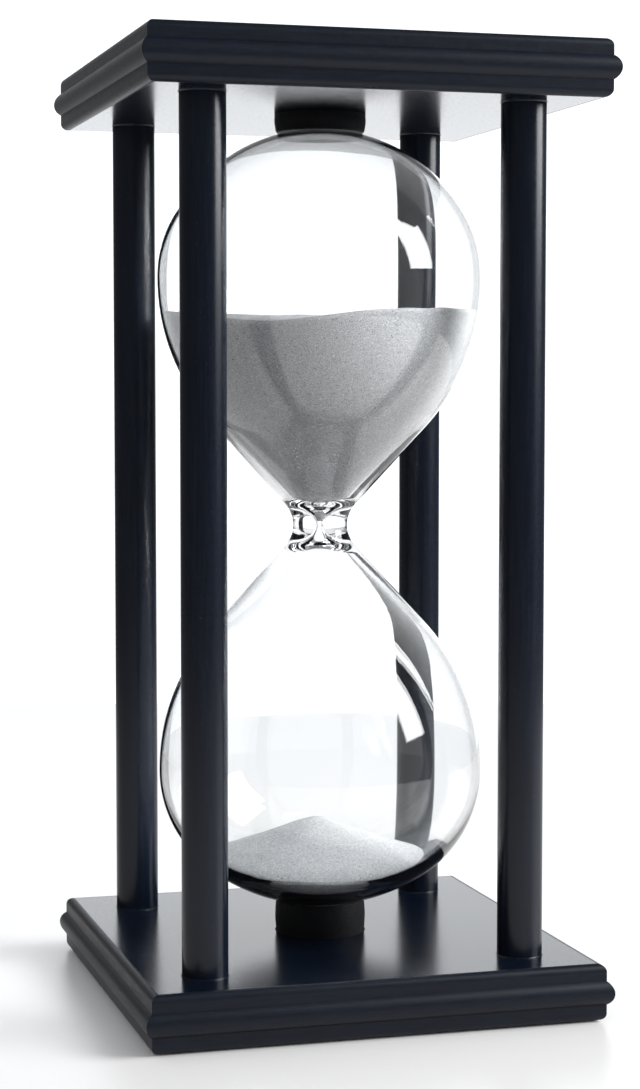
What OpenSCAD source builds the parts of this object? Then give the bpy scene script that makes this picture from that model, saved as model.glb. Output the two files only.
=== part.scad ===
// Hourglass: a double glass bulb held between two moulded square plates by
// four round posts. +Z is up and the origin is the centre of the resting face.
// The mid-plane of the glass goes through the orifice. The outsides of the two
// bulbs mirror each other in it, except that the lower one ends flatter.

/* [Frame] */
// Height over the outer faces of both plates
frame_h = 255; // [245:1:265]
// Width of a plate over its edge beads
plate_w = 125; // [120:1:140]
// Thickness of a plate
plate_t = 15; // [14:0.5:18]
// Diameter of a post
post_d = 12; // [11:0.5:14]
// Distance between neighbouring post axes
post_pitch = 86; // [82:0.5:90]
// Depth of the socket that takes the end of a post
socket_depth = 2; // [1:0.5:3]

/* [Edge moulding] */
// Height of the bead that runs round the middle of the edge
bead_h = 6.2; // [5:0.2:7]
// How far the bead stands out beyond the lips above and below it
bead_out = 1.7; // [0.8:0.1:2.4]
// Rounding of the outer corners of the lips
lip_round = 2; // [1:0.1:2.4]

/* [Glass] */
// Radius of a bulb at its widest
bulb_r = 44.5; // [40:0.5:46]
// Distance from the mid-plane to the widest point of a bulb
belly_at = 67.7; // [64:0.1:69]
// Radius of the round shoulder between belly and crown
shoulder_r = 34.3; // [32:0.1:35.5]
// Radius of the waist
waist_r = 7.5; // [6.8:0.1:9]
// Rounding of the waist
waist_round = 8; // [6:0.5:9]
// Angle between the axis and the cone that leads into the waist
cone_angle = 42; // [41:0.5:44]
// Wall thickness at the belly
wall = 0.9; // [0.8:0.1:1.2]
// How much flatter the lower end is than the upper one
lower_flat = 2.8; // [2.4:0.1:3]
// Wall thickness at the upper pole
upper_pole_wall = 1; // [0.9:0.1:2]
// Wall thickness at the lower pole, where the glass pooled as it was closed
lower_pole_wall = 2.2; // [1.6:0.1:4]
// Radius of the inner shoulder at the lower end
lower_inner_shoulder_r = 31; // [30:0.1:31.5]
// Radius of the hole that meters the sand
orifice_r = 0.7; // [0.5:0.1:1]
// Rounding of the funnels where they meet at the orifice
orifice_round = 6.5; // [6.2:0.1:6.8]
// Radius of the bowl between a funnel and its cone
bowl_r = 13; // [12.7:0.1:13.3]
// Angle between the axis and the inner side of the cone
inner_cone_angle = 45; // [44.8:0.1:45.3]

/* [Seats] */
// Diameter of the two soft seats
seat_d = 25; // [22:1:30]
// Height of the lower seat above its plate
lower_seat_h = 10; // [9.5:0.5:11]
// Depth of the dent that the glass rests in
lower_dent = 2.2; // [1.8:0.1:2.4]
// Rounding of the rim of the lower seat
lower_rim = 1; // [0.6:0.1:1.4]
// Height of the upper seat below its plate
upper_seat_h = 5; // [4:0.5:6]
// Depth of the dent in the upper seat
upper_dent = 1; // [0.5:0.5:1.5]
// Rounding of the rim of the upper seat
upper_rim = 0.6; // [0.4:0.1:1]
// Depth of the shallow recess that centres a seat in its plate
seat_recess = 1; // [0.5:0.5:1.5]

/* [Sand] */
// Height of the upper sand surface above the mid-plane, at the glass
upper_level = 58.5; // [30:0.5:62]
// Depth of the crater in the upper sand
crater_depth = 5; // [1:0.5:12]
// Height of the peak of the lower heap above the inside of the lower pole
heap_h = 21.4; // [10:0.1:24]
// Slope of the lower heap
heap_angle = 22.9; // [20:0.1:32]

/* [Screws and pads] */
// Diameter of a screw head
head_d = 8; // [7:0.5:8.5]
// Diameter over the thread
thread_d = 4; // [3.5:0.5:4.5]
// Diameter of the core under the thread
core_d = 2.8; // [2.4:0.2:3]
// Length of a screw
screw_l = 35; // [30:1:40]
// Length of the threaded part, up to the tip
thread_l = 20; // [16:1:22]
// Pitch of the thread
thread_pitch = 1.8; // [1.4:0.2:2]
// Diameter of a felt pad
pad_d = 16; // [14:1:18]
// Thickness of a felt pad
pad_t = 1.8; // [1.5:0.1:2.2]
// How far a felt pad stands out of its recess
pad_proud = 0.3; // [0.2:0.1:0.6]

/* [Hidden] */
$fn = 96;

// Largest angle between two points of an arc
arc_step = 5;
// Gap between the glass and its seats, which lets the glass be turned by hand
turn_gap = 0.2;
// Gap between sand and glass
sand_gap = 0.05;
// Clearance of the parts that are glued or screwed into a hole
fit_gap = 0.05;
// Height of the straight rim of a screw head
head_rim = 0.3;

// Corners in plan, as signs of X and Y; the front is -Y
FRONT_LEFT = [-1, -1];
FRONT_RIGHT = [1, -1];
BACK_LEFT = [-1, 1];
BACK_RIGHT = [1, 1];
CORNERS = [FRONT_LEFT, FRONT_RIGHT, BACK_LEFT, BACK_RIGHT];

total_h = frame_h + 2 * pad_proud;
clear_h = frame_h - 2 * plate_t;
floor_z = pad_proud + plate_t;
ceiling_z = floor_z + clear_h;
lip_w = plate_w - 2 * bead_out;
pad_recess = pad_t - pad_proud;
pilot_r = thread_d / 2 + fit_gap;
sink_r = head_d / 2 + fit_gap;
sink_rim = head_rim + fit_gap;
head_h = head_rim + (head_d - core_d) / 2;
pilot_depth = screw_l + 2 - (plate_t - pad_recess - socket_depth);

lower_stack = lower_seat_h - lower_dent;
upper_stack = upper_seat_h - upper_dent;
glass_h = clear_h - lower_stack - upper_stack;
lower_half = (glass_h - lower_flat) / 2;
upper_half = (glass_h + lower_flat) / 2;
glass_z = floor_z + lower_stack + lower_half;

// Points of an arc, from one angle to another
function arc(centre, r, from, to) =
    let (steps = ceil(abs(to - from) / arc_step))
    [for (i = [0 : steps])
        let (a = from + (to - from) * i / steps)
        centre + r * [cos(a), sin(a)]];

// Half outline of a bulb in [radius, height], from the top of its cone up to the
// pole: belly, shoulder and crown, three arcs that touch. slope is the angle of
// the cone and reach its distance from the origin. The shoulder and the crown
// leave out the point that they share with the arc before.
function bulb_outline(half, belly, shoulder, slope, reach) =
    let (
        r_belly = (belly_at * sin(slope) - belly * cos(slope) + reach) / (1 - cos(slope)),
        rise = half - belly_at,
        across = belly - shoulder,
        r_crown = (rise * rise + across * across - shoulder * shoulder)
            / (2 * (rise - shoulder)),
        crown_z = half - r_crown,
        crown_angle = atan2(belly_at - crown_z, across)
    )
    concat(
        arc([belly - r_belly, belly_at], r_belly, -slope, 0),
        arc([across, belly_at], shoulder, arc_step, crown_angle),
        arc([0, crown_z], r_crown, crown_angle + arc_step / 4, 90)
    );

// Outer half outline of the glass, from the waist up to the pole. inset moves it
// inwards by an even distance.
function glass_outline(half, inset) =
    let (
        waist_at = waist_r + waist_round,
        r_waist = waist_round + inset
    )
    concat(
        arc([waist_at, 0], r_waist, 180, 180 - cone_angle),
        bulb_outline(
            half - inset, bulb_r - inset, shoulder_r - inset,
            cone_angle, waist_at * cos(cone_angle) - r_waist
        )
    );

// Inner half outline, from the orifice up to the pole. The funnel is an arc that
// touches the bowl, and the bowl touches the cone.
function cavity_outline(half, shoulder, inset) =
    let (
        funnel_at = orifice_r + orifice_round,
        bowl_z = sqrt(pow(orifice_round + bowl_r, 2) - pow(funnel_at, 2)),
        r_bowl = bowl_r - inset,
        turn = atan2(bowl_z, funnel_at)
    )
    concat(
        arc([funnel_at, 0], orifice_round + inset, 180, 180 - turn),
        arc([0, bowl_z], r_bowl, arc_step / 2 - turn, -inner_cone_angle),
        bulb_outline(
            half - inset, bulb_r - wall - inset, shoulder - inset,
            inner_cone_angle, r_bowl - bowl_z * sin(inner_cone_angle)
        )
    );

// A lower and an upper half outline as one, from the lower pole to the upper pole
function whole_outline(lower, upper) =
    concat([for (i = [len(lower) - 1 : -1 : 1]) [lower[i][0], -lower[i][1]]], upper);

function glass_shell(inset = 0) =
    whole_outline(glass_outline(lower_half, inset), glass_outline(upper_half, inset));

function cavity(inset = 0) =
    whole_outline(
        cavity_outline(lower_half - lower_pole_wall, lower_inner_shoulder_r, inset),
        cavity_outline(upper_half - upper_pole_wall, shoulder_r - wall, inset)
    );

module at_corner(corner) {
    translate([corner[0] * post_pitch / 2, corner[1] * post_pitch / 2, 0]) children();
}

module at_corners() {
    for (corner = CORNERS) at_corner(corner) children();
}

// Turns what is drawn for the bottom end over, for the top end
module top_end() {
    translate([0, 0, total_h]) mirror([0, 0, 1]) children();
}

// Section through a plate: two lips with rounded outer corners, and between them
// a bead, a shallow arc that springs from the face of the lips
module plate_section() {
    bead_r = (bead_h * bead_h / 4 + bead_out * bead_out) / (2 * bead_out);
    translate([0, plate_t / 2]) {
        square([lip_w - 2 * lip_round, plate_t], center = true);
        square([lip_w, plate_t - 2 * lip_round], center = true);
        for (side = [-1, 1]) {
            translate([side * (plate_w / 2 - bead_r), 0]) circle(r = bead_r);
            for (end = [-1, 1])
                translate([side * (lip_w / 2 - lip_round), end * (plate_t / 2 - lip_round)])
                    circle(r = lip_round);
        }
    }
}

// The moulding runs both ways, so the two runs meet in mitred corners
module moulded_slab() {
    intersection() {
        rotate([90, 0, 0])
            linear_extrude(height = plate_w + 2, center = true) plate_section();
        rotate([90, 0, 90])
            linear_extrude(height = plate_w + 2, center = true) plate_section();
    }
}

// Half outline of a countersunk hole in a plate, in [radius, height]. It runs
// from inside the pad recess into the post socket, clear of the screw all round.
function screw_hole_outline() =
    let (cone_at = pad_recess + sink_rim)
    [
        [0, 0],
        [sink_r, 0],
        [sink_r, cone_at],
        [pilot_r, cone_at + sink_r - pilot_r],
        [pilot_r, plate_t],
        [0, plate_t]
    ];

// A plate with its outer face down
module end_plate() {
    color("#1c212c")
    translate([0, 0, pad_proud])
    difference() {
        moulded_slab();
        translate([0, 0, plate_t - seat_recess])
            cylinder(d = seat_d + 2 * fit_gap, h = seat_recess + 1);
        at_corners() {
            translate([0, 0, -1]) cylinder(d = pad_d + 2 * fit_gap, h = pad_recess + 1);
            rotate_extrude() polygon(screw_hole_outline());
            translate([0, 0, plate_t - socket_depth])
                cylinder(d = post_d + 2 * fit_gap, h = socket_depth + 1);
        }
    }
}

module bottom_plate() {
    end_plate();
}

module top_plate() {
    top_end() end_plate();
}

// A plain round post with a small chamfer and a pilot hole at each end
module post() {
    chamfer = 0.4;
    length = clear_h + 2 * socket_depth;
    color("#1a1e2b")
    translate([0, 0, floor_z - socket_depth])
    difference() {
        union() {
            translate([0, 0, chamfer]) cylinder(d = post_d, h = length - 2 * chamfer);
            cylinder(d1 = post_d - 2 * chamfer, d2 = post_d, h = chamfer);
            translate([0, 0, length - chamfer])
                cylinder(d1 = post_d, d2 = post_d - 2 * chamfer, h = chamfer);
        }
        translate([0, 0, -1]) cylinder(r = pilot_r, h = pilot_depth + 1);
        translate([0, 0, length - pilot_depth]) cylinder(r = pilot_r, h = pilot_depth + 1);
    }
}

module post_front_left() {
    at_corner(FRONT_LEFT) post();
}

module post_front_right() {
    at_corner(FRONT_RIGHT) post();
}

module post_back_left() {
    at_corner(BACK_LEFT) post();
}

module post_back_right() {
    at_corner(BACK_RIGHT) post();
}

// Half outline of a countersunk wood screw, head down, in [radius, height]
function screw_outline() =
    let (
        tip_l = 3,
        rings = floor((thread_l - tip_l) / thread_pitch),
        start = screw_l - tip_l - rings * thread_pitch
    )
    concat(
        [[0, 0], [head_d / 2, 0], [head_d / 2, head_rim], [core_d / 2, head_h]],
        [for (i = [0 : rings - 1], side = [0, 1, 2])
            [side == 1 ? thread_d / 2 : core_d / 2,
             start + (i + 0.1 + side * 0.4) * thread_pitch]],
        [[core_d / 2, screw_l - tip_l], [0, screw_l]]
    );

module screw() {
    slot_w = 0.9;
    slot_l = head_d * 0.55;
    slot_depth = 1.5;
    difference() {
        rotate_extrude() polygon(screw_outline());
        for (turn = [0, 90])
            rotate([0, 0, turn])
                translate([-slot_l / 2, -slot_w / 2, -1]) cube([slot_l, slot_w, slot_depth + 1]);
    }
}

module end_screws() {
    color("silver")
    translate([0, 0, pad_proud + pad_recess + fit_gap])
        at_corners() screw();
}

module post_screws_bottom() {
    end_screws();
}

module post_screws_top() {
    top_end() end_screws();
}

// A felt disc that covers a screw head
module pad() {
    color("#15171c") cylinder(d = pad_d, h = pad_t);
}

module pad_bottom_front_left() {
    at_corner(FRONT_LEFT) pad();
}

module pad_bottom_front_right() {
    at_corner(FRONT_RIGHT) pad();
}

module pad_bottom_back_left() {
    at_corner(BACK_LEFT) pad();
}

module pad_bottom_back_right() {
    at_corner(BACK_RIGHT) pad();
}

module pad_top_front_left() {
    top_end() at_corner(FRONT_LEFT) pad();
}

module pad_top_front_right() {
    top_end() at_corner(FRONT_RIGHT) pad();
}

module pad_top_back_left() {
    top_end() at_corner(BACK_LEFT) pad();
}

module pad_top_back_right() {
    top_end() at_corner(BACK_RIGHT) pad();
}

// Half section of a soft seat, standing on z = 0, with a rounded rim
module seat_section(height, rim) {
    square([seat_d / 2, height - rim]);
    square([seat_d / 2 - rim, height]);
    translate([seat_d / 2 - rim, height - rim]) circle(r = rim);
}

// The room that the glass takes in the seats
module glass_room() {
    polygon(glass_shell(-turn_gap));
}

module lower_seat() {
    color("#0c0d11")
    rotate_extrude()
    difference() {
        translate([0, floor_z - seat_recess]) seat_section(lower_seat_h + seat_recess, lower_rim);
        translate([0, glass_z]) glass_room();
    }
}

module upper_seat() {
    color("#0c0d11")
    rotate_extrude()
    difference() {
        translate([0, ceiling_z + seat_recess])
            mirror([0, 1]) seat_section(upper_seat_h + seat_recess, upper_rim);
        translate([0, glass_z]) glass_room();
    }
}

// One piece of blown glass: two bulbs whose funnels meet at the orifice
module glass_bulbs() {
    color("#dfe8ec", 0.35)
    translate([0, 0, glass_z])
    rotate_extrude()
    difference() {
        polygon(glass_shell());
        polygon(cavity());
    }
}

// Half section of the space inside the glass that sand can fill
module sand_room() {
    polygon(cavity(sand_gap));
}

// The sand that is still to run, with a crater over the orifice
module upper_sand() {
    plug_h = 1.5;
    color("#c4c6c8")
    translate([0, 0, glass_z])
    rotate_extrude()
    intersection() {
        sand_room();
        polygon([
            [0, plug_h],
            [bulb_r, plug_h],
            [bulb_r, upper_level],
            [0, upper_level - crater_depth]
        ]);
    }
}

// The sand that has run through, as a cone in the bottom of the lower bulb
module lower_sand() {
    peak = lower_pole_wall + heap_h - lower_half;
    color("#cfd1d3")
    translate([0, 0, glass_z])
    rotate_extrude()
    intersection() {
        sand_room();
        polygon([
            [0, -lower_half],
            [bulb_r, -lower_half],
            [bulb_r, peak - bulb_r * tan(heap_angle)],
            [0, peak]
        ]);
    }
}

bottom_plate();
top_plate();
post_front_left();
post_front_right();
post_back_left();
post_back_right();
post_screws_bottom();
post_screws_top();
pad_bottom_front_left();
pad_bottom_front_right();
pad_bottom_back_left();
pad_bottom_back_right();
pad_top_front_left();
pad_top_front_right();
pad_top_back_left();
pad_top_back_right();
lower_seat();
upper_seat();
glass_bulbs();
upper_sand();
lower_sand();
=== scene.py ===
"""Hourglass: its glass, sand, foam seats, felt pads and finishes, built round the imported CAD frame.

Metres, +Z up, -Y is the front. Outlines are lists of (radius, height) points.
"""

from math import atan2, ceil, cos, exp, hypot, pi, radians, sin, sqrt

import bpy
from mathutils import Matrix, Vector, noise


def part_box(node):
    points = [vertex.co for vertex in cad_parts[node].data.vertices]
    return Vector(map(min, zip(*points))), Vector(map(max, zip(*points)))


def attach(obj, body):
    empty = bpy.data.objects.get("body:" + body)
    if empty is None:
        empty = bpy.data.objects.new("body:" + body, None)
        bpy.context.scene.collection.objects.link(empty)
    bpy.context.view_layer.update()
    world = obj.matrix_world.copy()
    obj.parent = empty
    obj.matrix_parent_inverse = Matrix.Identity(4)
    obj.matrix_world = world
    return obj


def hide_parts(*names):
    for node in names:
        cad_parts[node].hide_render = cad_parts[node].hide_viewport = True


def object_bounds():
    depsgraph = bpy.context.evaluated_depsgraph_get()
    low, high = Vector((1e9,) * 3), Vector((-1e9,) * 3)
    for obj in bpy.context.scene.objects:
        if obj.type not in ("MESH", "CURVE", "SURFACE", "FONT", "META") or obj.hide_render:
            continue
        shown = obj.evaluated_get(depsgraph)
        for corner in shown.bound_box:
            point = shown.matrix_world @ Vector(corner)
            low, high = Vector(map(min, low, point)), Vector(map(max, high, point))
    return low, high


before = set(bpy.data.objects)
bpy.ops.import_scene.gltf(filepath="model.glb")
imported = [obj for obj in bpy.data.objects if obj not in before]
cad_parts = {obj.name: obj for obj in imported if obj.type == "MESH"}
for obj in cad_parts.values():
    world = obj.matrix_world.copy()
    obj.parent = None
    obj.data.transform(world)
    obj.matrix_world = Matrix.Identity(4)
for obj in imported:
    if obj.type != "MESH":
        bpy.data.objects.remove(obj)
cad_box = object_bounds()

MM = 0.001
CORNERS = ("front_left", "front_right", "back_left", "back_right")

# Faces round a full turn
GLASS_FACES = 192
SAND_FACES = 160
SEAT_FACES = 200
PAD_FACES = 72
LIP_FACES = 48
FLOOR_FACES = 180

# The height of the glass above and below its waist, and the waist's own, from the CAD
LOWER_FLAT = 2.8 * MM       # how much flatter the lower end is than the upper one
glass_low, glass_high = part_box("glass_bulbs")
UPPER_HALF = (glass_high.z - glass_low.z + LOWER_FLAT) / 2
LOWER_HALF = UPPER_HALF - LOWER_FLAT
GLASS_Z = glass_low.z + LOWER_HALF
BULB_R = glass_high.x

# The glass: the same driving sizes as the CAD solid
BELLY_AT = 67.7 * MM
SHOULDER_R = 34.3 * MM
WAIST_R = 7.5 * MM
WAIST_ROUND = 8 * MM
CONE_ANGLE = radians(42)
WALL = 0.9 * MM
UPPER_POLE_WALL = 1 * MM
LOWER_POLE_WALL = 2.2 * MM
LOWER_INNER_SHOULDER_R = 31 * MM
ORIFICE_R = 0.7 * MM
ORIFICE_ROUND = 6.5 * MM
BOWL_R = 13 * MM
INNER_CONE_ANGLE = radians(45)
WAVER_SIZE = 28 * MM        # how far apart the uneven places of the blown glass are
OUTER_WAVER = 0.0008        # and how uneven it is, as a share of its radius
INNER_WAVER = 0.0015
ARC_STEP = radians(2)

# Sand
SAND_GAP = 0.05 * MM
UPPER_LEVEL = 59 * MM       # above the mid-plane of the glass
CRATER_DEPTH = 5 * MM
CRATER_R = 26 * MM
DIP_DEPTH = 3.8 * MM        # a shallow scoop where the sand has slid from the glass
DIP_AZIMUTH = radians(-36)
DIP_SPREAD = radians(34)
PLUG_Z = 1.5 * MM           # the sand starts this far above the throat
HEAP_PEAK = 21.4 * MM       # above the lower pole, inside
HEAP_SLOPE = 0.423
HEAP_ROUND = 2.2 * MM
HEAP_SHIFT = -1 * MM        # the peak stands a little left of the axis
RIPPLE_SIZE = 9 * MM
RIPPLE_DEPTH = 0.35 * MM
HEAP_RIPPLE_SIZE = 6 * MM
HEAP_RIPPLE_DEPTH = 0.25 * MM

# Soft seats: their height with the part in the plate's recess, and the rounding of their rims
LOWER_SEAT_H = 11 * MM
LOWER_RIM = 1 * MM
UPPER_SEAT_H = 6 * MM
UPPER_RIM = 0.8 * MM
SEAT_BULGE = 0.35 * MM
DENT_GAP = 0.2 * MM         # between the glass and the dent that it has pressed

# Felt pads
PAD_EDGE = 0.3 * MM
TUFT_SIZE = 0.9 * MM
TUFT_DEPTH = 0.06 * MM

# The lacquer of the plates: its edge mouldings start this far out, and are this much rougher
MOULDING_AT = 58.8 * MM
EDGE_DULLING = 0.2


# ---------------------------------------------------------------- outlines

def arc(centre, r, start, stop):
    """Points of an arc round centre, from one angle to another."""
    steps = max(1, ceil(abs(stop - start) / ARC_STEP))
    angles = [start + (stop - start) * i / steps for i in range(steps + 1)]
    return [(centre[0] + r * cos(a), centre[1] + r * sin(a)) for a in angles]


def bulb_outline(half, belly, shoulder, slope, reach):
    """Half outline of a bulb from the top of its cone up to the pole: belly, shoulder, crown.

    slope is the angle of the cone and reach its distance from the origin.
    """
    r_belly = (BELLY_AT * sin(slope) - belly * cos(slope) + reach) / (1 - cos(slope))
    rise = half - BELLY_AT
    across = belly - shoulder
    r_crown = (rise ** 2 + across ** 2 - shoulder ** 2) / (2 * (rise - shoulder))
    crown_z = half - r_crown
    crown_angle = atan2(BELLY_AT - crown_z, across)
    return (
        arc((belly - r_belly, BELLY_AT), r_belly, -slope, 0)
        + arc((across, BELLY_AT), shoulder, ARC_STEP, crown_angle)
        + arc((0, crown_z), r_crown, crown_angle + ARC_STEP / 4, pi / 2)
    )


def glass_outline(half, inset):
    """Outer half outline of the glass, from the waist up to the pole."""
    waist_at = WAIST_R + WAIST_ROUND
    r_waist = WAIST_ROUND + inset
    return arc((waist_at, 0), r_waist, pi, pi - CONE_ANGLE) + bulb_outline(
        half - inset, BULB_R - inset, SHOULDER_R - inset,
        CONE_ANGLE, waist_at * cos(CONE_ANGLE) - r_waist)


def cavity_outline(half, shoulder, inset):
    """Inner half outline, from the orifice up to the pole: funnel, bowl, cone and bulb."""
    funnel_at = ORIFICE_R + ORIFICE_ROUND
    bowl_z = sqrt((ORIFICE_ROUND + BOWL_R) ** 2 - funnel_at ** 2)
    r_bowl = BOWL_R - inset
    turn = atan2(bowl_z, funnel_at)
    return (
        arc((funnel_at, 0), ORIFICE_ROUND + inset, pi, pi - turn)
        + arc((0, bowl_z), r_bowl, ARC_STEP / 2 - turn, -INNER_CONE_ANGLE)
        + bulb_outline(
            half - inset, BULB_R - WALL - inset, shoulder - inset,
            INNER_CONE_ANGLE, r_bowl - bowl_z * sin(INNER_CONE_ANGLE))
    )


def whole_outline(lower, upper):
    """Both half outlines as one, from the lower pole to the upper pole, at the glass's place."""
    below = [(r, -z) for r, z in reversed(lower[1:])]
    return [(r, GLASS_Z + z) for r, z in below + upper]


def glass_shell(inset=0.0):
    return whole_outline(glass_outline(LOWER_HALF, inset), glass_outline(UPPER_HALF, inset))


def cavity(inset=0.0):
    return whole_outline(
        cavity_outline(LOWER_HALF - LOWER_POLE_WALL, LOWER_INNER_SHOULDER_R, inset),
        cavity_outline(UPPER_HALF - UPPER_POLE_WALL, SHOULDER_R - WALL, inset))


# ---------------------------------------------------------------- meshes

def skin(rings, loop=False):
    """Vertices and faces over a stack of rings, each a pole (one point) or a full turn of points."""
    starts = []
    vertices = []
    for ring in rings:
        starts.append(len(vertices))
        vertices.extend(ring)
    faces = []
    pairs = [(i, i + 1) for i in range(len(rings) - 1)]
    if loop:
        pairs.append((len(rings) - 1, 0))
    for low, high in pairs:
        turn = max(len(rings[low]), len(rings[high]))
        for j in range(turn):
            k = (j + 1) % turn
            if len(rings[low]) == 1:
                faces.append((starts[low], starts[high] + k, starts[high] + j))
            elif len(rings[high]) == 1:
                faces.append((starts[low] + j, starts[low] + k, starts[high]))
            else:
                faces.append((starts[low] + j, starts[low] + k, starts[high] + k, starts[high] + j))
    return vertices, faces


def turned(outline, count):
    """The rings of a turned shape: a point on the axis gives a pole."""
    rings = []
    for r, z in outline:
        if r < 1e-7:
            rings.append([Vector((0, 0, z))])
        else:
            turns = [2 * pi * j / count for j in range(count)]
            rings.append([Vector((r * cos(a), r * sin(a), z)) for a in turns])
    return rings


def joined(*parts):
    """Several (vertices, faces) as one."""
    vertices, faces = [], []
    for part_vertices, part_faces in parts:
        start = len(vertices)
        vertices.extend(part_vertices)
        faces.extend(tuple(start + i for i in face) for face in part_faces)
    return vertices, faces


def inside_out(shell):
    vertices, faces = shell
    return vertices, [tuple(reversed(face)) for face in faces]


def moved(shell, offset):
    vertices, faces = shell
    return [v + Vector(offset) for v in vertices], faces


def piece(name, shell, material, body):
    """A new smooth object of the shell, riding on a body."""
    mesh = bpy.data.meshes.new(name)
    vertices, faces = shell
    mesh.from_pydata([tuple(v) for v in vertices], [], faces)
    mesh.polygons.foreach_set("use_smooth", [True] * len(faces))
    mesh.materials.append(material)
    mesh.update()
    obj = bpy.data.objects.new(name, mesh)
    bpy.context.scene.collection.objects.link(obj)
    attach(obj, body)
    return obj


def roughened(shell, grain, depth):
    """Each point moved by smooth noise of that grain, up to about depth."""
    noise.seed_set(1)       # without a seed, noise_vector differs from run to run
    vertices, faces = shell
    return [v + noise.noise_vector(v / grain) * depth for v in vertices], faces


# ---------------------------------------------------------------- node materials

class Paint:
    """A node material with one Principled shader, and short calls that add nodes to it."""

    def __init__(self, name, **plain):
        self.material = bpy.data.materials.new(name)
        self.material.use_nodes = True
        self.tree = self.material.node_tree
        self.shader = self.tree.nodes["Principled BSDF"]
        for socket, value in plain.items():
            self.shader.inputs[socket.replace("_", " ")].default_value = value
        self.place = self.tree.nodes.new("ShaderNodeTexCoord").outputs["Object"]

    def link(self, source, target):
        self.tree.links.new(source, target)

    def feed(self, socket, source):
        self.link(source, self.shader.inputs[socket])

    def stretched(self, x, y, z):
        """Object coordinates in units of x, y and z metres."""
        node = self.tree.nodes.new("ShaderNodeMapping")
        node.inputs["Scale"].default_value = (1 / x, 1 / y, 1 / z)
        self.link(self.place, node.inputs["Vector"])
        return node.outputs["Vector"]

    def noise(self, size, detail=2.0, roughness=0.5, place=None):
        """Smooth noise, from 0 to 1. size is in metres, or in the units of another place."""
        node = self.tree.nodes.new("ShaderNodeTexNoise")
        node.inputs["Scale"].default_value = 1 / size
        node.inputs["Detail"].default_value = detail
        node.inputs["Roughness"].default_value = roughness
        self.link(place or self.place, node.inputs["Vector"])
        return node.outputs["Fac"]

    def cells(self, size, output="Distance"):
        """Voronoi cells of that size: the distance to their centres, or a random Color each."""
        node = self.tree.nodes.new("ShaderNodeTexVoronoi")
        node.inputs["Scale"].default_value = 1 / size
        self.link(self.place, node.inputs["Vector"])
        return node.outputs[output]

    def ranged(self, source, low, high, start=0.0, stop=1.0):
        """source from low to high, mapped to start to stop."""
        node = self.tree.nodes.new("ShaderNodeMapRange")
        node.inputs["From Min"].default_value = low
        node.inputs["From Max"].default_value = high
        node.inputs["To Min"].default_value = start
        node.inputs["To Max"].default_value = stop
        self.link(source, node.inputs["Value"])
        return node.outputs["Result"]

    def mixed(self, share, first, second):
        """A colour between two, each a colour or an output."""
        node = self.tree.nodes.new("ShaderNodeMix")
        node.data_type = "RGBA"
        self.link(share, node.inputs["Factor"])
        for socket, colour in ((node.inputs[6], first), (node.inputs[7], second)):
            if isinstance(colour, tuple):
                socket.default_value = (*colour, 1.0)
            else:
                self.link(colour, socket)
        return node.outputs[2]

    def calculated(self, operation, first, second=None):
        """A number from one or two others."""
        node = self.tree.nodes.new("ShaderNodeMath")
        node.operation = operation
        self.link(first, node.inputs[0])
        if second is not None:
            self.link(second, node.inputs[1])
        return node.outputs[0]

    def square_distance(self):
        """The larger of the distances from the axis along X and along Y."""
        split = self.tree.nodes.new("ShaderNodeSeparateXYZ")
        self.link(self.place, split.inputs["Vector"])
        return self.calculated(
            "MAXIMUM",
            self.calculated("ABSOLUTE", split.outputs["X"]),
            self.calculated("ABSOLUTE", split.outputs["Y"]))

    def bumped(self, height, depth, normal=None):
        """A normal for a relief of that depth in metres, laid over another normal."""
        node = self.tree.nodes.new("ShaderNodeBump")
        node.inputs["Distance"].default_value = depth
        self.link(height, node.inputs["Height"])
        if normal is not None:
            self.link(normal, node.inputs["Normal"])
        return node.outputs["Normal"]


def lacquer(name, roughness, relief_depth, grain_size, edge_at=None, **plain):
    """Blue-black lacquer over wood: faint grain, fine orange peel, dust nibs.

    Outside edge_at, measured square round the axis, the coat is rougher.
    """
    paint = Paint(name, **plain)
    grain = paint.noise(1.0, detail=4, roughness=0.6, place=paint.stretched(*grain_size))
    peel = paint.noise(0.9 * MM, detail=3)
    nibs = paint.ranged(paint.noise(0.4 * MM, detail=1), 0.72, 0.8)
    tone = paint.ranged(grain, 0.35, 0.7)
    body = paint.mixed(tone, (0.0013, 0.0032, 0.0082), (0.0032, 0.0062, 0.0135))
    paint.feed("Base Color", paint.mixed(nibs, body, (0.016, 0.022, 0.034)))
    dullness = paint.ranged(peel, 0.3, 0.7, roughness - 0.02, roughness + 0.04)
    if edge_at is not None:
        edge = paint.ranged(paint.square_distance(), edge_at - 0.3 * MM, edge_at, 0.0, EDGE_DULLING)
        dullness = paint.calculated("ADD", dullness, edge)
    paint.feed("Roughness", dullness)
    relief = paint.bumped(grain, relief_depth)
    relief = paint.bumped(peel, relief_depth, relief)
    paint.feed("Normal", paint.bumped(nibs, 2 * relief_depth, relief))
    return paint.material


def foam():
    """Black closed-cell foam with fine pores and a matt skin."""
    paint = Paint("seat_foam", IOR=1.3, Sheen_Weight=0.04, Sheen_Roughness=0.5)
    pores = paint.cells(0.45 * MM)
    mottle = paint.noise(2.5 * MM, detail=3)
    paint.feed("Base Color", paint.mixed(mottle, (0.0014, 0.0016, 0.0024), (0.0038, 0.0042, 0.006)))
    paint.feed("Roughness", paint.ranged(mottle, 0.2, 0.8, 0.5, 0.7))
    paint.feed("Normal", paint.bumped(pores, 0.06 * MM))
    return paint.material


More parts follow.
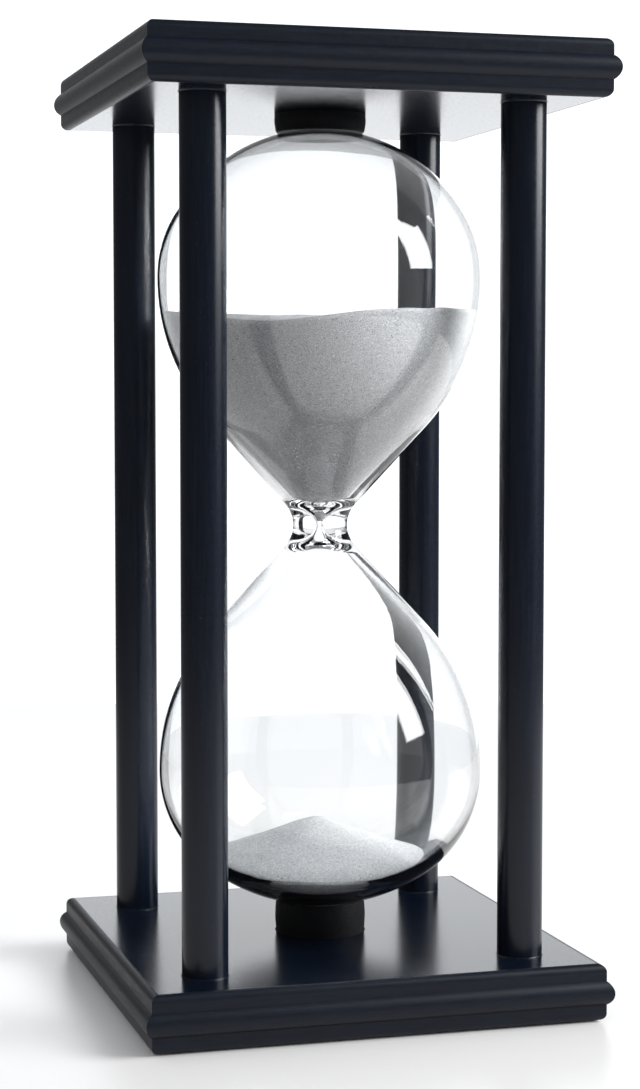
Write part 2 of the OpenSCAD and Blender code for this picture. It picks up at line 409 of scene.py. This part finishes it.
def felt():
    """Dark pressed wool felt."""
    paint = Paint("pad_felt", Sheen_Weight=0.08, Sheen_Roughness=0.4, IOR=1.3)
    fibres = paint.noise(0.25 * MM, detail=5, roughness=0.75)
    clumps = paint.noise(1.6 * MM, detail=3)
    paint.feed("Base Color", paint.mixed(clumps, (0.006, 0.007, 0.01), (0.018, 0.02, 0.026)))
    paint.feed("Roughness", paint.ranged(fibres, 0.2, 0.8, 0.85, 1.0))
    paint.feed("Normal", paint.bumped(fibres, 0.2 * MM))
    return paint.material


def steel():
    """Zinc-plated screws with turning marks."""
    paint = Paint("screw_steel", Metallic=1.0)
    marks = paint.noise(1.0, detail=3, place=paint.stretched(3 * MM, 3 * MM, 0.12 * MM))
    stains = paint.noise(1.5 * MM, detail=4)
    paint.feed("Base Color", paint.mixed(stains, (0.42, 0.41, 0.38), (0.66, 0.65, 0.62)))
    paint.feed("Roughness", paint.ranged(marks, 0.3, 0.7, 0.22, 0.42))
    paint.feed("Normal", paint.bumped(marks, 0.03 * MM))
    return paint.material


def glass_paint(name, dust):
    """Blown glass, almost colourless, with faint ripples. dust is the share of sand dust on it."""
    paint = Paint(name, IOR=1.5, Roughness=0.0)
    tint = paint.noise(30 * MM, detail=2)
    paint.feed("Base Color", paint.mixed(tint, (0.975, 0.985, 0.988), (0.993, 0.998, 1.0)))
    specks = paint.ranged(paint.noise(0.28 * MM, detail=2), 0.5, 0.72, 0.0, 0.03 * dust)
    clouds = paint.ranged(paint.noise(14 * MM, detail=3), 0.3, 0.75, 0.2, 1.0)
    film = paint.calculated("MULTIPLY", specks, clouds)
    paint.feed("Transmission Weight", paint.ranged(film, 0, 1, 1.0, 0.0))
    ripples = paint.noise(1.0, detail=1, place=paint.stretched(14 * MM, 14 * MM, 30 * MM))
    paint.feed("Normal", paint.bumped(ripples, 0.05 * MM))
    return paint.material


def sand():
    """Fine pale grey quartz sand: each grain has its own tone, and a few are dark or bright."""
    paint = Paint("fine_sand", IOR=1.3, Roughness=0.95)
    grain_size = 0.26 * MM
    tones = paint.cells(grain_size, "Color")
    separate = paint.tree.nodes.new("ShaderNodeSeparateColor")
    paint.link(tones, separate.inputs["Color"])
    patches = paint.noise(6 * MM, detail=4, roughness=0.6)
    pale = paint.mixed(patches, (0.385, 0.387, 0.392), (0.46, 0.462, 0.467))
    greyer = paint.ranged(separate.outputs["Red"], 0, 1, 0, 0.8)
    brighter = paint.ranged(separate.outputs["Green"], 0.95, 1.0)
    darker = paint.ranged(separate.outputs["Blue"], 0.96, 1.0)
    body = paint.mixed(greyer, pale, (0.25, 0.252, 0.257))
    body = paint.mixed(brighter, body, (0.6, 0.6, 0.6))
    paint.feed("Base Color", paint.mixed(darker, body, (0.1, 0.1, 0.105)))
    paint.feed("Normal", paint.bumped(paint.cells(grain_size), 0.06 * MM))
    return paint.material


# ---------------------------------------------------------------- pieces

def build_glass(clear, dusty):
    """One piece of blown glass: an outer shell, and the cavity of both bulbs as an inner shell."""
    def shell(outline, waver):
        vertices, faces = skin(turned(outline, GLASS_FACES))
        for v in vertices:
            widening = noise.noise(v / WAVER_SIZE) * waver
            v.x *= 1 + widening
            v.y *= 1 + widening
        return vertices, faces

    outer = shell(glass_shell(), OUTER_WAVER)
    inner = inside_out(shell(cavity(), INNER_WAVER))
    glass = piece("glass", joined(outer, inner), clear, "glass")
    glass.data.materials.append(dusty)
    for face in glass.data.polygons[len(outer[1]):]:
        face.material_index = 1
    glass.visible_shadow = False        # clear thin glass lets the light through
    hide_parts("glass_bulbs")


def along(path, share):
    """The point at that share of a path's length."""
    lengths = [hypot(b[0] - a[0], b[1] - a[1]) for a, b in zip(path, path[1:])]
    left = share * sum(lengths)
    for (a, b), length in zip(zip(path, path[1:]), lengths):
        if left <= length:
            t = left / length
            return a[0] + (b[0] - a[0]) * t, a[1] + (b[1] - a[1]) * t
        left -= length
    return path[-1]


def sand_body(wall, surface, wall_rings, top_rings):
    """The shell of sand that fills the glass below surface(x, y).

    It runs from the axis out along the wall, up to the surface, and in over the top.
    """
    columns = []
    for j in range(SAND_FACES):
        a = 2 * pi * j / SAND_FACES
        path = [wall[0]]
        for low, high in zip(wall, wall[1:]):
            x, y = high[0] * cos(a), high[0] * sin(a)
            if high[1] >= surface(x, y):
                lows = low[1] - surface(low[0] * cos(a), low[0] * sin(a))
                highs = high[1] - surface(x, y)
                t = -lows / (highs - lows)
                path.append((low[0] + (high[0] - low[0]) * t, low[1] + (high[1] - low[1]) * t))
                break
            path.append(high)
        column = []
        for i in range(wall_rings + 1):
            r, z = along(path, i / wall_rings)
            column.append(Vector((r * cos(a), r * sin(a), z)))
        edge = path[-1][0]
        for i in range(1, top_rings):
            r = edge * (1 - i / top_rings)
            x, y = r * cos(a), r * sin(a)
            column.append(Vector((x, y, surface(x, y))))
        columns.append(column)
    rings = [list(ring) for ring in zip(*columns)]
    rings.insert(0, [Vector((0, 0, wall[0][1]))])
    rings.append([Vector((0, 0, surface(0, 0)))])
    return skin(rings)


def build_upper_sand(material):
    level = GLASS_Z + UPPER_LEVEL
    edge = BULB_R - WALL

    def surface(x, y):
        r = hypot(x, y)
        turn = atan2(x, -y) - DIP_AZIMUTH
        turn = (turn + pi) % (2 * pi) - pi
        dip = DIP_DEPTH * exp(-(turn / DIP_SPREAD) ** 2) * (r / edge) ** 2
        crater = CRATER_DEPTH * exp(-(r / CRATER_R) ** 2)
        ripple = noise.noise(Vector((x, y, 0)) / RIPPLE_SIZE) * RIPPLE_DEPTH
        return level - dip - crater + ripple

    upper = [(r, z) for r, z in cavity(SAND_GAP) if z > GLASS_Z + PLUG_Z]
    body = sand_body(upper, surface, wall_rings=60, top_rings=36)
    obj = piece("sand_upper", body, material, "glass")
    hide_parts("upper_sand")


def build_lower_sand(material):
    pole = glass_low.z + LOWER_POLE_WALL

    def surface(x, y):
        r = hypot(x - HEAP_SHIFT, y)
        ripple = noise.noise(Vector((x, y, 3 * MM)) / HEAP_RIPPLE_SIZE) * HEAP_RIPPLE_DEPTH
        return pole + HEAP_PEAK - HEAP_SLOPE * (hypot(r, HEAP_ROUND) - HEAP_ROUND) + ripple

    lower = [(r, z) for r, z in cavity(SAND_GAP) if z < GLASS_Z]
    del lower[0]                # the pole, which sand_body adds
    body = sand_body(lower, surface, wall_rings=30, top_rings=50)
    obj = piece("sand_lower", body, material, "glass")
    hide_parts("lower_sand")


def height_at(radius, path):
    """The height of a path at that radius, on its way out from the axis."""
    for (r, z), (next_r, next_z) in zip(path, path[1:]):
        if radius <= next_r:
            return z + (next_z - z) * (radius - r) / (next_r - r)


def dent_outline(rim_point, up, pressed):
    """From the rim of a seat in to the axis, over the face that the glass has pressed."""
    reached = []
    for r, z in pressed:
        if up * (z - rim_point[1]) > 0 or r > rim_point[0]:
            break
        reached.append((r, z))
    reached.reverse()
    return reached


def build_seat(node, height, rim, up, material):
    """A soft foam seat that the end of the glass is pressed into. up is 1 for the lower one."""
    low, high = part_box(node)
    waist = high.x - SEAT_BULGE
    base = low.z if up > 0 else high.z
    foot = 0.04             # where the bulging side starts, as a share of its height
    steps = 20
    outline = [(0, 0), (high.x * 0.5, 0), (waist - 0.3 * MM, 0)]
    for i in range(steps + 1):
        z = (height - rim) * (foot + (1 - foot) * i / steps)
        outline.append((waist + SEAT_BULGE * sin(pi * i / steps), z))
    outline += arc((waist - rim, height - rim), rim, ARC_STEP * 4, pi / 2)
    outline = [(r, base + up * z) for r, z in outline]
    pressed = glass_shell(-DENT_GAP)
    if up < 0:
        pressed.reverse()
    outline = [(r, z) for r, z in outline if up * (height_at(r, pressed) - z) > 0]
    outline += dent_outline(outline[-1], up, pressed)
    shell = skin(turned(outline, SEAT_FACES))
    if up < 0:
        shell = inside_out(shell)
    shell = roughened(shell, 1.1 * MM, 0.05 * MM)
    obj = piece(node + "_foam", shell, material, "frame")
    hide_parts(node)


def build_seats(material):
    build_seat("lower_seat", LOWER_SEAT_H, LOWER_RIM, 1, material)
    build_seat("upper_seat", UPPER_SEAT_H, UPPER_RIM, -1, material)


def build_pad(node, resting_z, material):
    """A felt disc over a screw head. Its resting face stays flat, and its side is tufted."""
    low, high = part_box(node)
    centre = (low + high) / 2
    radius = (high.x - low.x) / 2
    thick = high.z - low.z
    rings = 12
    outline = [(0, 0)]
    outline += [(radius * i / rings, 0) for i in range(1, rings)]
    outline += arc((radius - PAD_EDGE, PAD_EDGE), PAD_EDGE, -pi / 2, 0)
    outline += arc((radius - PAD_EDGE, thick - PAD_EDGE), PAD_EDGE, 0, pi / 2)
    outline += [(radius * i / rings, thick) for i in range(rings - 1, 0, -1)]
    outline += [(0, thick)]
    shell = skin(turned(outline, PAD_FACES))
    vertices, faces = moved(shell, (centre.x, centre.y, low.z))
    for v in vertices:
        if abs(v.z - resting_z) > 0.01 * MM:
            tuft = noise.noise(v / TUFT_SIZE) * TUFT_DEPTH
            outward = Vector((v.x - centre.x, v.y - centre.y, 0)).normalized()
            v += outward * (tuft - TUFT_DEPTH)
    obj = piece(node + "_felt", (vertices, faces), material, "frame")
    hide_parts(node)


def build_pads(material):
    for corner in CORNERS:
        node = "pad_bottom_" + corner
        build_pad(node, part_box(node)[0].z, material)
    for corner in CORNERS:
        node = "pad_top_" + corner
        build_pad(node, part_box(node)[1].z, material)


def build_lips(name, face, up, material):
    """The thin lip of lacquer that has gathered where each post enters a plate's face."""
    inner = -0.1 * MM       # from the post's surface
    outer = 0.34 * MM
    sunk = -0.05 * MM       # from the plate's face
    height = 0.3 * MM
    hollow_r = 0.25 * MM
    lips = []
    for corner in CORNERS:
        low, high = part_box("post_" + corner)
        centre = (low + high) / 2
        radius = (high.x - low.x) / 2
        hollow = arc((radius + height, height), hollow_r, pi, pi * 1.5)
        outline = [(radius + inner, sunk), (radius + outer, sunk)]
        outline += reversed(hollow)
        outline += [(radius + inner, height)]
        outline = [(r, up * z) for r, z in outline]
        shell = skin(turned(outline, LIP_FACES), loop=True)
        if up < 0:
            shell = inside_out(shell)
        lips.append(moved(shell, (centre.x, centre.y, face)))
    piece(name, joined(*lips), material, "frame")


def finish_nodes(names, material):
    """Gives CAD nodes that stay their finished material."""
    for name in names:
        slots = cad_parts[name].data.materials
        for i in range(len(slots)):
            slots[i] = material


# ---------------------------------------------------------------- room, light and camera

CAMERA_AZIMUTH = radians(-15.97)
CAMERA_ELEVATION = radians(3.79)
CAMERA_DISTANCE = 665 * MM
CAMERA_DROP = 5 * MM        # the camera aims this far below the object's middle
LENS_MM = 79.6

KEY_AZIMUTH = radians(66)
KEY_ELEVATION = radians(27.6)
KEY_DISTANCE = 1.0
KEY_SIZE = (0.62, 0.68)
KEY_RADIANCE = 13.0

FLOOR_R = 0.6
PALE = 1.3                  # radiance of the backdrop where it is looked at directly
THROUGH = (0.4, 1.35)       # through glass: to the side or back, and ahead
MIRRORED = (0.13, 2.1)      # in reflections: the dark room, and the lit backdrop
FILLING = 1.1               # as light on matt surfaces


def bearing(azimuth, elevation):
    """The unit vector towards an azimuth, from -Y turning to +X, and an elevation."""
    return Vector((
        sin(azimuth) * cos(elevation), -cos(azimuth) * cos(elevation), sin(elevation)))


def build_floor():
    """A white satin table top, round, with the hourglass in its middle."""
    paint = Paint("white_floor", IOR=1.35)
    cloud = paint.noise(0.4, detail=2)
    paint.feed("Base Color", paint.mixed(cloud, (0.56, 0.548, 0.54), (0.595, 0.583, 0.574)))
    paint.feed("Roughness", paint.ranged(cloud, 0.3, 0.7, 0.28, 0.34))
    turns = [2 * pi * i / FLOOR_FACES for i in range(FLOOR_FACES)]
    rim = [(FLOOR_R * cos(a), FLOOR_R * sin(a), 0) for a in turns]
    mesh = bpy.data.meshes.new("floor")
    mesh.from_pydata(rim, [], [tuple(range(FLOOR_FACES))])
    mesh.materials.append(paint.material)
    floor = bpy.data.objects.new("floor", mesh)
    bpy.context.scene.collection.objects.link(floor)


def build_room():
    """A dim room with a bright backdrop behind the object, seen differently by each kind of ray."""
    world = bpy.data.worlds.new("room")
    world.use_nodes = True
    tree = world.node_tree
    place = tree.nodes.new("ShaderNodeTexCoord")
    rays = tree.nodes.new("ShaderNodeLightPath")
    ahead = tree.nodes.new("ShaderNodeVectorMath")
    ahead.operation = "DOT_PRODUCT"
    tree.links.new(place.outputs["Generated"], ahead.inputs[0])
    ahead.inputs[1].default_value = -bearing(CAMERA_AZIMUTH, 0)

    def faded(start, stop, radiances):
        """A radiance that changes with the direction: start and stop are cosines to straight ahead."""
        node = tree.nodes.new("ShaderNodeMapRange")
        node.interpolation_type = "SMOOTHSTEP"
        node.inputs["From Min"].default_value = start
        node.inputs["From Max"].default_value = stop
        node.inputs["To Min"].default_value = radiances[0]
        node.inputs["To Max"].default_value = radiances[1]
        tree.links.new(ahead.outputs["Value"], node.inputs["Value"])
        return node.outputs["Result"]

    def chosen(ray, radiance, otherwise):
        """One radiance for rays of that kind, or with that depth, and another for the rest."""
        node = tree.nodes.new("ShaderNodeMix")
        tree.links.new(rays.outputs[ray], node.inputs["Factor"])
        tree.links.new(otherwise, node.inputs["A"])
        if isinstance(radiance, float):
            node.inputs["B"].default_value = radiance
        else:
            tree.links.new(radiance, node.inputs["B"])
        return node.outputs["Result"]

    strength = faded(0.87, 0.98, MIRRORED)
    strength = chosen("Is Transmission Ray", faded(0.2, 0.7, THROUGH), strength)
    strength = chosen("Diffuse Depth", FILLING, strength)
    strength = chosen("Is Camera Ray", PALE, strength)
    background = tree.nodes["Background"]
    background.inputs["Color"].default_value = (0.95, 0.972, 1.0, 1.0)
    tree.links.new(strength, background.inputs["Strength"])
    bpy.context.scene.world = world


def build_key_light(middle):
    """One large softbox, up on the right."""
    towards = bearing(KEY_AZIMUTH, KEY_ELEVATION)
    data = bpy.data.lights.new("softbox", "AREA")
    data.shape = "RECTANGLE"
    data.size, data.size_y = KEY_SIZE
    data.energy = KEY_RADIANCE * pi * KEY_SIZE[0] * KEY_SIZE[1]
    data.color = (0.97, 0.985, 1.0)
    light = bpy.data.objects.new("softbox", data)
    light.location = middle + towards * KEY_DISTANCE
    light.rotation_euler = towards.to_track_quat("Z", "Y").to_euler()
    light.visible_camera = False
    bpy.context.scene.collection.objects.link(light)


def build_camera(middle):
    towards = bearing(CAMERA_AZIMUTH, CAMERA_ELEVATION)
    data = bpy.data.cameras.new("camera")
    data.lens = LENS_MM
    camera = bpy.data.objects.new("camera", data)
    aim = middle - Vector((0, 0, CAMERA_DROP))
    camera.location = aim + towards * CAMERA_DISTANCE
    camera.rotation_euler = towards.to_track_quat("Z", "Y").to_euler()
    bpy.context.scene.collection.objects.link(camera)
    bpy.context.scene.camera = camera


# ---------------------------------------------------------------- the scene

middle = (cad_box[0] + cad_box[1]) / 2
build_camera(middle)
build_key_light(middle)
build_room()
build_floor()

plate_paint = lacquer(
    "plate_lacquer", roughness=0.2, relief_depth=0.005 * MM,
    grain_size=(6 * MM, 0.5 * MM, 0.5 * MM), edge_at=MOULDING_AT, IOR=1.34)
post_paint = lacquer(
    "post_lacquer", roughness=0.23, relief_depth=0.001 * MM,
    grain_size=(0.7 * MM, 0.7 * MM, 18 * MM), IOR=1.42)
finish_nodes(["bottom_plate", "top_plate"], plate_paint)
finish_nodes(["post_" + corner for corner in CORNERS], post_paint)
finish_nodes(["post_screws_bottom", "post_screws_top"], steel())
build_lips("lacquer_lips_bottom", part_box("bottom_plate")[1].z, 1, post_paint)
build_lips("lacquer_lips_top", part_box("top_plate")[0].z, -1, post_paint)
build_seats(foam())
build_pads(felt())
build_glass(glass_paint("clear_glass", 0.0), glass_paint("dusty_glass", 1.0))
sand_paint = sand()
build_upper_sand(sand_paint)
build_lower_sand(sand_paint)

bpy.context.scene.view_settings.view_transform = "Standard"
